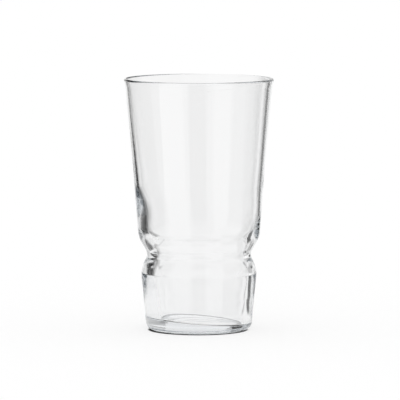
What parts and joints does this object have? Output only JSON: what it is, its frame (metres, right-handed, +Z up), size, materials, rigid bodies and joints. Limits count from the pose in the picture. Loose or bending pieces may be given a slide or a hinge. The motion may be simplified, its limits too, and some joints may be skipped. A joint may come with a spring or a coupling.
{
  "type": "highball glass",
  "caption": "Tall clear drinking glass with a gently opening bowl over a drawn-in waist and a short drum-shaped foot, standing on a narrow ring under its base.",
  "frame": {"origin": "centre of the resting ring, on the table plane", "axes": "+Z up along the axis of the glass, from the base to the lip; the glass is the same all round, so +X and +Y are free"},
  "size_m": [0.08, 0.08, 0.1345],
  "materials": {
    "clear_glass": "clear soda-lime glass, fire-polished"
  },
  "bodies": {
    "root": {"glass": "clear_glass"}
  },
  "joints": []
}
